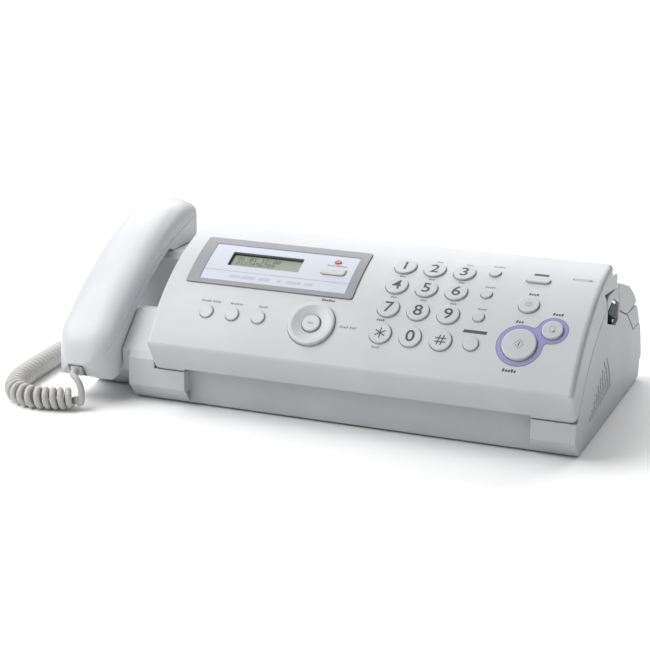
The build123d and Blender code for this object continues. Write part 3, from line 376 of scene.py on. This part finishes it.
def cord():
    coil = [(x, y, COIL_Z) for x, y in COIL_POINTS]
    controls = LEAD_POINTS + coil + TAIL_POINTS[1:]
    line = read_curve([place(*p) for p in controls])
    distances = [0.0]
    for before, after in zip(line[:-1], line[1:]):
        distances.append(distances[-1] + (after - before).length)

    def nearest(point):
        return min(range(len(line)), key=lambda i: (line[i] - point).length)

    start = distances[nearest(place(*coil[0]))] - 0.001
    end = distances[nearest(place(*coil[-1]))]
    turn_radius = (COIL_DIAMETER - STRAND) / 2000
    path = resample(helix(line, start, end, turn_radius), 0.0011)
    vertices, faces = tube_mesh(path, STRAND / 2000)
    made = piece("handset_cord", vertices, faces, CORD, None, smooth=True)
    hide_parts("cord_lead", "cord_coil", "cord_tail")
    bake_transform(made)


cord()


# ---------------------------------------------------------------- handset's back shell
HANDSET_MIDDLE = -336.5
HANDSET_HALF = 20.5
HANDSET_NOSE = -21.5                # y of its front end
HANDSET_LENGTH = 151.0
EAR_CORNER = 8.0
SEAM = [(-21.5, 27.0), (-13.0, 35.5), (-1.0, 44.5), (17.0, 57.5), (32.0, 68.0), (55.0, 80.5), (79.0, 90.5),
        (103.0, 97.5), (129.5, 103.0)]
CROWN = [(-21.5, 27.0), (-16.5, 42.0), (-5.0, 54.5), (16.0, 71.5), (40.0, 87.5), (65.0, 101.0), (88.0, 110.2),
         (104.0, 114.2), (116.0, 114.0), (126.0, 110.5), (129.5, 103.0)]


def along(points, y):
    """Height of a smooth line through (y, z) points."""
    last = len(points) - 1
    index = max(i for i in range(last) if points[i][0] <= y + 1e-9)
    (y0, z0), (y1, z1) = points[index], points[index + 1]
    slope_in = (z1 - points[index - 1][1]) / (y1 - points[index - 1][0]) if index else (z1 - z0) / (y1 - y0)
    after = min(index + 2, last)
    slope_out = (points[after][1] - z0) / (points[after][0] - y0)
    t = (y - y0) / (y1 - y0)
    run = y1 - y0
    return ((2 * t ** 3 - 3 * t * t + 1) * z0 + (t ** 3 - 2 * t * t + t) * run * slope_in
            + (3 * t * t - 2 * t ** 3) * z1 + (t ** 3 - t * t) * run * slope_out)


def half_width(y):
    """Half the handset's width in plan: round at the mouth, rounded corners at the ear end."""
    front, rear = -1.5, 121.5
    if y < front:
        return math.sqrt(max(HANDSET_HALF ** 2 - (front - y) ** 2, 9.0))
    if y > rear:
        return HANDSET_HALF - EAR_CORNER + math.sqrt(max(EAR_CORNER ** 2 - (y - rear) ** 2, 0.0))
    return HANDSET_HALF


def handset_shell():
    rows, columns = 96, 24
    vertices, faces = [], []
    for row in range(rows + 1):
        y = HANDSET_NOSE + HANDSET_LENGTH * (1 - math.cos(math.pi * row / rows)) / 2
        base = along(SEAM, y) + 0.15
        rise = max(along(CROWN, y) - along(SEAM, y), 0.0)
        half = half_width(y)
        for column in range(-columns, columns + 1):
            share = math.sin(math.pi / 2 * column / columns)
            lift = (1 - abs(share) ** 2.9) ** 0.42
            vertices.append(place(HANDSET_MIDDLE + half * share, y, base + rise * lift))
    across = 2 * columns + 1
    for row in range(rows):
        for column in range(across - 1):
            a = row * across + column
            faces.append((a, a + 1, a + 1 + across, a + across))
    shell = piece("handset_shell", vertices, faces, HANDSET, "handset", smooth=True)
    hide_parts("handset_back")


handset_shell()


# ---------------------------------------------------------------- print on the panel and the keys
def panel_point(x, angle, lift):
    turn = math.radians(angle)
    radius = PANEL_R + lift
    return place(x, PANEL_Y - radius * math.sin(turn), PANEL_Z + radius * math.cos(turn))


def circle(x, y, radius, count=64, squeeze=1.0):
    turns = [2 * math.pi * i / count for i in range(count)]
    return [(x + radius * math.cos(t), y + squeeze * radius * math.sin(t)) for t in turns]


def rounded(x, y, width, height, radius, count=8):
    points = []
    for corner, (sx, sy) in enumerate(((1, 1), (-1, 1), (-1, -1), (1, -1))):
        for step in range(count + 1):
            turn = math.pi / 2 * (corner + step / count)
            points.append((x + sx * (width / 2 - radius) + radius * math.cos(turn),
                           y + sy * (height / 2 - radius) + radius * math.sin(turn)))
    return points


def bar(x, y, width, height, turn=0.0, slant=0.0):
    """Four corners of a bar, turned in degrees, leaning by slant."""
    c, s = math.cos(math.radians(turn)), math.sin(math.radians(turn))
    half, tall = width / 2, height / 2
    corners = [(-half, -tall), (half, -tall), (half, tall), (-half, tall)]
    return [(x + (a + slant * b) * c - b * s, y + (a + slant * b) * s + b * c) for a, b in corners]


def flat_fill(loops):
    """Mesh of the area that closed loops enclose, inner loops being holes."""
    data = bpy.data.curves.new("fill", "CURVE")
    data.dimensions = "2D"
    data.fill_mode = "BOTH"
    for loop in loops:
        spline = data.splines.new("POLY")
        spline.points.add(len(loop) - 1)
        for target, (x, y) in zip(spline.points, loop):
            target.co = (x, y, 0.0, 1.0)
        spline.use_cyclic_u = True
    holder = bpy.data.objects.new("fill", data)
    mesh = bpy.data.meshes.new_from_object(holder)
    bpy.data.objects.remove(holder)
    return mesh


def glyph_mesh(text, size):
    """Flat mesh of one numeral, centred, in millimetres."""
    data = bpy.data.curves.new("glyph", "FONT")
    data.body = text
    data.size = size
    data.align_x = "CENTER"
    data.align_y = "CENTER"
    data.resolution_u = 6
    data.offset = 0.012 * size
    holder = bpy.data.objects.new("glyph", data)
    mesh = bpy.data.meshes.new_from_object(holder)
    mesh.transform(Matrix.Diagonal((1.12, 1.0, 1.0, 1.0)))
    bpy.data.objects.remove(holder)
    return mesh


def wrap(name, mesh, x, angle, lift, material, body, flat=False):
    """Lay a flat mesh, in millimetres about (0, 0), on the panel, or on a key's flat top."""
    shape = bmesh.new()
    shape.from_mesh(mesh)
    if not flat:
        low = min((v.co.y for v in shape.verts), default=0.0)
        high = max((v.co.y for v in shape.verts), default=0.0)
        level = math.ceil(low / 1.5) * 1.5
        while level < high:
            geometry = shape.verts[:] + shape.edges[:] + shape.faces[:]
            bmesh.ops.bisect_plane(shape, geom=geometry, plane_co=(0, level, 0), plane_no=(0, 1, 0))
            level += 1.5
    turn = math.radians(angle)
    for vertex in shape.verts:
        u, v = vertex.co.x, vertex.co.y
        if flat:
            radius = PANEL_R + lift
            y = PANEL_Y - radius * math.sin(turn) + v * math.cos(turn)
            z = PANEL_Z + radius * math.cos(turn) + v * math.sin(turn)
            vertex.co = place(x + u, y, z)
        else:
            vertex.co = panel_point(x + u, angle - math.degrees(v / PANEL_R), lift)
    bmesh.ops.recalc_face_normals(shape, faces=shape.faces[:])
    result = bpy.data.meshes.new(name)
    shape.to_mesh(result)
    shape.free()
    result.materials.append(material)
    made = bpy.data.objects.new(name, result)
    bpy.context.scene.collection.objects.link(made)
    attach(made, body)
    return made


def printed(name, loops, x, angle, lift, material, body="front", flat=False, slot="casing_plastic"):
    return wrap(name, flat_fill(loops), x, angle, lift, material, body, flat)


def arc_between(centre, radius, start, end, count=24):
    return [(centre[0] + radius * math.cos(start + (end - start) * i / count),
             centre[1] + radius * math.sin(start + (end - start) * i / count)) for i in range(count + 1)]


def joined_rings(gap, big, small, neck):
    """Outline round two circles a distance apart, joined by smooth necks; the big one is at (0, 0)."""
    distance = math.hypot(*gap)
    heading = math.atan2(gap[1], gap[0])
    along_axis = ((big + neck) ** 2 - (small + neck) ** 2 + distance ** 2) / (2 * distance)
    off_axis = math.sqrt((big + neck) ** 2 - along_axis ** 2)
    to_neck = math.atan2(off_axis, along_axis)
    from_small = math.atan2(off_axis, along_axis - distance)
    outline = arc_between((0, 0), big, heading + to_neck, heading + 2 * math.pi - to_neck, 60)
    below = (along_axis * math.cos(heading) + off_axis * math.sin(heading),
             along_axis * math.sin(heading) - off_axis * math.cos(heading))
    outline += arc_between(below, neck, heading + math.pi - to_neck, heading + math.pi - from_small, 14)[1:]
    outline += arc_between(gap, small, heading - from_small, heading + from_small, 44)[1:]
    above = (along_axis * math.cos(heading) - off_axis * math.sin(heading),
             along_axis * math.sin(heading) + off_axis * math.cos(heading))
    outline += arc_between(above, neck, heading + math.pi + from_small, heading + math.pi + to_neck, 14)[1:-1]
    return outline


START = (-40.1, 44.1)
COPY = (-21.8, 39.0)
STOP = (-41.4, 32.0)
SET = (-178.3, 45.1)
UP = math.radians(1) * PANEL_R      # millimetres of panel for one degree


def surround():
    gap = (COPY[0] - START[0], (START[1] - COPY[1]) * UP)
    holes = [circle(0, 0, 11.5), circle(*gap, 7.2)]
    printed("surround_edge", [joined_rings(gap, 14.9, 10.1, 2.7), *holes], *START, 0.05, LAVENDER_EDGE)
    printed("surround_fill", [joined_rings(gap, 14.5, 9.7, 3.1), *holes], *START, 0.09, LAVENDER)


surround()

DIAL_X = (-130.6, -110.5, -90.4)
DIAL_ANGLES = (23.0, 30.4, 37.9, 45.5)
DIAL_NAMES = ("1", "2", "3", "4", "5", "6", "7", "8", "9", "star", "0", "hash")
TOP = 0.05                          # print stands this far off a key's top
DIAL_TOP = 1.3 + TOP
START_TOP = 1.8 + TOP
COPY_TOP = 1.6 + TOP
STOP_TOP = 1.4 + TOP
SET_TOP = 1.6 + TOP
NUMERAL_SIZE = 11.4
PRINT_LIFT = 0.06                   # print stands this far off the panel


def numerals():
    for index, name in enumerate(DIAL_NAMES):
        x, angle = DIAL_X[index % 3], DIAL_ANGLES[index // 3]
        body = f"key_{name}_body"
        if name == "star":
            bars = [bar(0, 0, 7.6, 0.85, turn) for turn in (90, 30, -30)]
            for number, loop in enumerate(bars):
                printed(f"star_bar_{number}", [loop], x, angle, DIAL_TOP + 0.004 * number, INK, body, True,
                        "key_plastic")
        elif name == "hash":
            bars = [bar(0, 1.3, 7.4, 0.8), bar(0, -1.3, 7.4, 0.8), bar(-1.25, 0, 0.8, 7.2, 0, 0.2),
                    bar(1.25, 0, 0.8, 7.2, 0, 0.2)]
            for number, loop in enumerate(bars):
                printed(f"hash_bar_{number}", [loop], x, angle, DIAL_TOP + 0.004 * number, INK, body, True,
                        "key_plastic")
        else:
            numeral = glyph_mesh(name, NUMERAL_SIZE)
            wrap(f"numeral_{name}", numeral, x, angle, DIAL_TOP, INK, body, True)


numerals()


def letter_blocks(words, height, slant=0.12):
    """Loops for a row of words, each letter being a small upright block."""
    width, space = 0.62 * height, 0.26 * height
    total = sum(words) * (width + space) + (len(words) - 1) * 2 * space
    left = -total / 2
    loops = []
    for number, count in enumerate(words):
        for letter in range(count):
            tall = height * (1.0 if letter == 0 or (letter + number) % 4 == 3 else 0.74)
            loops.append(bar(left + width / 2, (tall - height) / 2, width, tall, 0, slant))
            left += width + space
        left += 2 * space
    return loops


def dashes(name, x, angle, words, height=1.9, material=INK):
    """Row of letter-sized blocks that stands for a printed label; words gives the letters in each."""
    printed(name, letter_blocks(words, height), x, angle, PRINT_LIFT, material)


def labels():
    for row in range(3):
        for column in range(3):
            if row + column:
                x, angle = DIAL_X[column] + 1.0, DIAL_ANGLES[row] - 3.75
                dashes(f"dial_label_{row}{column}", x, angle, (3,), 1.6, FAINT)
    dashes("redial_label", -69.6, 18.6, (6,), 1.5, FAINT)
    dashes("flash_label", -69.6, 27.2, (5,), 1.6, FAINT)
    dashes("mute_label", -69.6, 34.9, (4,), 1.6, FAINT)
    dashes("stop_label", -40.4, 28.1, (4,), 1.9)
    dashes("copy_label", -21.0, 33.9, (4,), 2.0)
    dashes("fax_label", -43.5, 37.4, (3,), 2.0)
    dashes("start_label", -42.5, 51.1, (5,), 2.1)
    dashes("broadcast_label", -251.8, 41.9, (5, 4), 1.7, FAINT)
    dashes("report_label", -233.4, 41.9, (6,), 1.7, FAINT)
    dashes("menu_label", -214.4, 41.9, (4,), 1.7, FAINT)
    dashes("volume_label", -172.0, 37.6, (6,), 1.8)
    dashes("phonebook_label", -153.0, 44.9, (4, 3), 1.7, FAINT)
    dashes("tone_label_top", -133.0, 41.6, (4,), 1.5)
    dashes("tone_label", -131.4, 49.3, (4,), 1.5, FAINT)
    for name, x, angle, width in (("monitor_tag", -70.0, 41.9, 15.4), ("caller_tag", -40.8, 20.3, 9.6)):
        printed(name, [bar(0, 0, width, 2.3, 0, 0.15)], x, angle, PRINT_LIFT, INK)
    arrow = [(-6.4, 0.9), (-6.9, 0.0), (-6.4, -0.9), (4.6, -0.9), (4.6, -1.3), (6.9, 0.0), (4.6, 1.3),
             (4.6, 0.9)]
    hole = [(-5.7, 0.5), (-5.9, 0.0), (-5.7, -0.5), (3.9, -0.5), (3.9, 0.5)]
    printed("feed_arrow", [arrow, hole], -13.5, 20.6, PRINT_LIFT, FAINT)


labels()


def key_symbols():
    diamond = [(0, 3.6), (3.2, 0), (0, -3.6), (-3.2, 0)]
    inner = [(0, 3.0), (2.65, 0), (0, -3.0), (-2.65, 0)]
    printed("start_mark", [diamond, inner], *START, START_TOP, FAINT, "start_key_body", True, "key_plastic")
    printed("start_mark_bar", [bar(0, 0, 0.6, 3.0, -12)], *START, START_TOP, INK, "start_key_body", True,
            "key_plastic")
    page = rounded(0.1, 0.1, 3.6, 4.4, 0.7, 4)
    page_hole = rounded(0.1, 0.1, 3.1, 3.9, 0.5, 4)
    printed("copy_mark", [page, page_hole], *COPY, COPY_TOP, FAINT, "copy_key_body", True, "key_plastic")
    printed("copy_mark_fold", [[(1.9, -2.1), (1.9, 0.2), (-0.4, -2.1)]], *COPY, COPY_TOP, FAINT,
            "copy_key_body", True, "key_plastic")
    ring = [circle(0, 0, 2.1, 32), circle(0, 0, 1.75, 32)]
    printed("stop_mark", ring, *STOP, STOP_TOP, FAINT, "stop_key_body", True, "key_plastic")
    printed("stop_mark_bar", [bar(0, 0, 2.0, 0.4, 35)], *STOP, STOP_TOP, FAINT, "stop_key_body", True,
            "key_plastic")
    printed("set_mark", letter_blocks((3,), 1.4), *SET, SET_TOP, FAINT, "set_key_body", True,
            "key_plastic")


key_symbols()


# ---------------------------------------------------------------- display
SUNK = 0.9 - 0.35                   # the frame's sunk middle, above the panel
LCD_X, LCD_ANGLE = -226.4, 27.05
MIDDLE_X = (-266.9 - 162.8) / 2
MIDDLE_ANGLE = (21.6 + 35.2) / 2


def display():
    width, height = 103.7, 13.5 * UP
    window = rounded(LCD_X - MIDDLE_X, (MIDDLE_ANGLE - LCD_ANGLE) * UP, 51.4, 13.6, 0.8, 4)
    key_hole = rounded(-176.7 - MIDDLE_X, (MIDDLE_ANGLE - 28.1) * UP, 17.7, 7.1, 2.5, 6)
    lamp_hole = circle(-176.8 - MIDDLE_X, (MIDDLE_ANGLE - 24.3) * UP, 2.55, 24, 0.72)
    plate = rounded(0, 0, width, height, 0.6, 4)
    printed("display_inner", [plate, window, key_hole, lamp_hole], MIDDLE_X, MIDDLE_ANGLE, SUNK + 0.05, INNER,
            slot="display_frame")
    printed("display_line", [bar(0, 0, 103.2, 0.3)], MIDDLE_X, 31.75, SUNK + 0.09, FAINT,
            slot="display_frame")
    dashes_at = [(-34.0, 8.0), (-24.0, 9.5), (-12.5, 8.0), (-2.0, 2.4), (8.5, 10.5), (19.0, 6.0)]
    loops = [bar(x, 0, w, 2.6, 0, 0.22) for x, w in dashes_at]
    printed("display_tagline", loops, MIDDLE_X + 6.0, 33.5, SUNK + 0.09, PALE_PRINT, slot="display_frame")
    printed("answer_label", letter_blocks((4, 6), 1.5, 0.2), -176.0, 25.75, SUNK + 0.09, FAINT,
            slot="display_frame")


display()

DOTS = {
    "0": "01110 10001 10011 10101 11001 10001 01110", "1": "00100 01100 00100 00100 00100 00100 01110",
    "2": "01110 10001 00001 00110 01000 10000 11111", "3": "01110 10001 00001 00110 00001 10001 01110",
    "4": "00010 00110 01010 10010 11111 00010 00010", "5": "11111 10000 11110 00001 00001 10001 01110",
    "6": "00110 01000 10000 11110 10001 10001 01110", "7": "11111 00001 00010 00100 01000 01000 01000",
    "8": "01110 10001 10001 01110 10001 10001 01110", "9": "01110 10001 10001 01111 00001 00010 01100",
    ":": "00000 00100 00100 00000 00100 00100 00000", "-": "00000 00000 00000 01110 00000 00000 00000",
    " ": "00000 00000 00000 00000 00000 00000 00000"}


def lcd():
    """Glass, a dark band round it that is painted shadow from the window's edge, wider along the top, and
    dot-matrix numerals: a date and time over a row of figures.
    """
    depth = -1.2 - 0.5
    printed("lcd_glass", [bar(0, 0, 54.0, 15.6)], LCD_X, LCD_ANGLE, depth + 0.12, LCD, "front", True,
            "lcd_glass")
    # Painted shadow: the dark band round the glass, wider along the top, stands for the shade that the
    # window's edge casts on the display.
    shadow_band = [bar(0, 0, 54.0, 15.6), bar(0.0, -0.3, 50.2, 12.2)]
    printed("lcd_shadow_band", shadow_band, LCD_X, LCD_ANGLE, depth + 0.2, DARK, "front", True, "lcd_glass")
    dot, pitch = 0.42, 0.48
    vertices, faces = [], []
    turn = math.radians(LCD_ANGLE)
    radius = PANEL_R + depth + 0.24
    for row, text in enumerate(("01-01 12:00", "0123456789")):
        for column, character in enumerate(text):
            for line, bits in enumerate(DOTS[character].split()):
                for position, bit in enumerate(bits):
                    if bit == "0":
                        continue
                    u = -21.6 + column * 2.85 + position * pitch
                    v = 3.9 - row * 4.1 - line * pitch
                    first = len(vertices)
                    for a, b in ((0, 0), (dot, 0), (dot, dot), (0, dot)):
                        y = PANEL_Y - radius * math.sin(turn) + (v + b) * math.cos(turn)
                        z = PANEL_Z + radius * math.cos(turn) + (v + b) * math.sin(turn)
                        vertices.append(place(LCD_X + u + a, y, z))
                    faces.append((first, first + 1, first + 2, first + 3))
    piece("lcd_figures", vertices, faces, LCD_DOT, "front")


lcd()


# ---------------------------------------------------------------- speaker cloth
def speaker_cloth():
    """Dark cloth behind the speaker holes, on the inside of the right wall."""
    outline = ((32.0, 13.0), (98.0, 18.0), (94.0, 53.0), (66.0, 57.0), (42.0, 32.0))
    sheet = [place(-2.55, y, z) for y, z in outline]
    piece("speaker_cloth", sheet, [(0, 1, 2, 3, 4)], CLOTH, "base")


speaker_cloth()


# ---------------------------------------------------------------- light and floor
def lights():
    def area(name, spot, target, size, power, colour=(1, 1, 1)):
        data = bpy.data.lights.new(name, "AREA")
        data.shape = "RECTANGLE"
        data.size, data.size_y = size
        data.energy = power
        data.color = colour
        lamp = bpy.data.objects.new(name, data)
        lamp.location = spot
        lamp.rotation_euler = (Vector(target) - Vector(spot)).to_track_quat("-Z", "Y").to_euler()
        bpy.context.scene.collection.objects.link(lamp)

    area("key_light", (-0.95, -0.55, 1.25), (0, 0, 0.05), (1.2, 1.2), 23.0)
    area("top_light", (-0.55, 0.5, 1.6), (-0.1, 0, 0.05), (1.4, 1.2), 9.0)
    area("backdrop_light", (0.3, 3.2, 2.4), (0.3, 3.6, 0.0), (6.0, 3.0), 260.0)
    world = bpy.data.worlds.new("studio")
    world.use_nodes = True
    world.node_tree.nodes["Background"].inputs["Color"].default_value = (0.98, 0.99, 1.0, 1)
    world.node_tree.nodes["Background"].inputs["Strength"].default_value = 0.38
    bpy.context.scene.world = world


def flag():
    """Dark board out of view to the right, which keeps light off the object's right side."""
    material, tree, shader = new_material("black_flag")
    shader.inputs["Base Color"].default_value = (0.01, 0.01, 0.01, 1)
    shader.inputs["Roughness"].default_value = 1.0
    made = piece("side_flag", [(0.75, -0.45, 0.0), (0.75, 0.75, 0.0), (0.75, 0.75, 0.9), (0.75, -0.45, 0.9)],
                 [(0, 1, 2, 3)], material, None)
    made.visible_camera = False


def floor():
    material, tree, shader = new_material("pale_floor")
    tree.links.new(between(tree, noise(tree, 6.0), (0.93, 0.93, 0.93, 1), (0.95, 0.95, 0.95, 1)),
                   shader.inputs["Base Color"])
    shader.inputs["Roughness"].default_value = 0.9
    shader.inputs["Specular IOR Level"].default_value = 0.1
    size = 14.0
    made = piece("studio_floor", [(-size, -size, 0), (size, -size, 0), (size, size, 0), (-size, size, 0)],
                 [(0, 1, 2, 3)], material, None)


lights()
flag()
floor()
bpy.context.scene.view_settings.view_transform = "Standard"
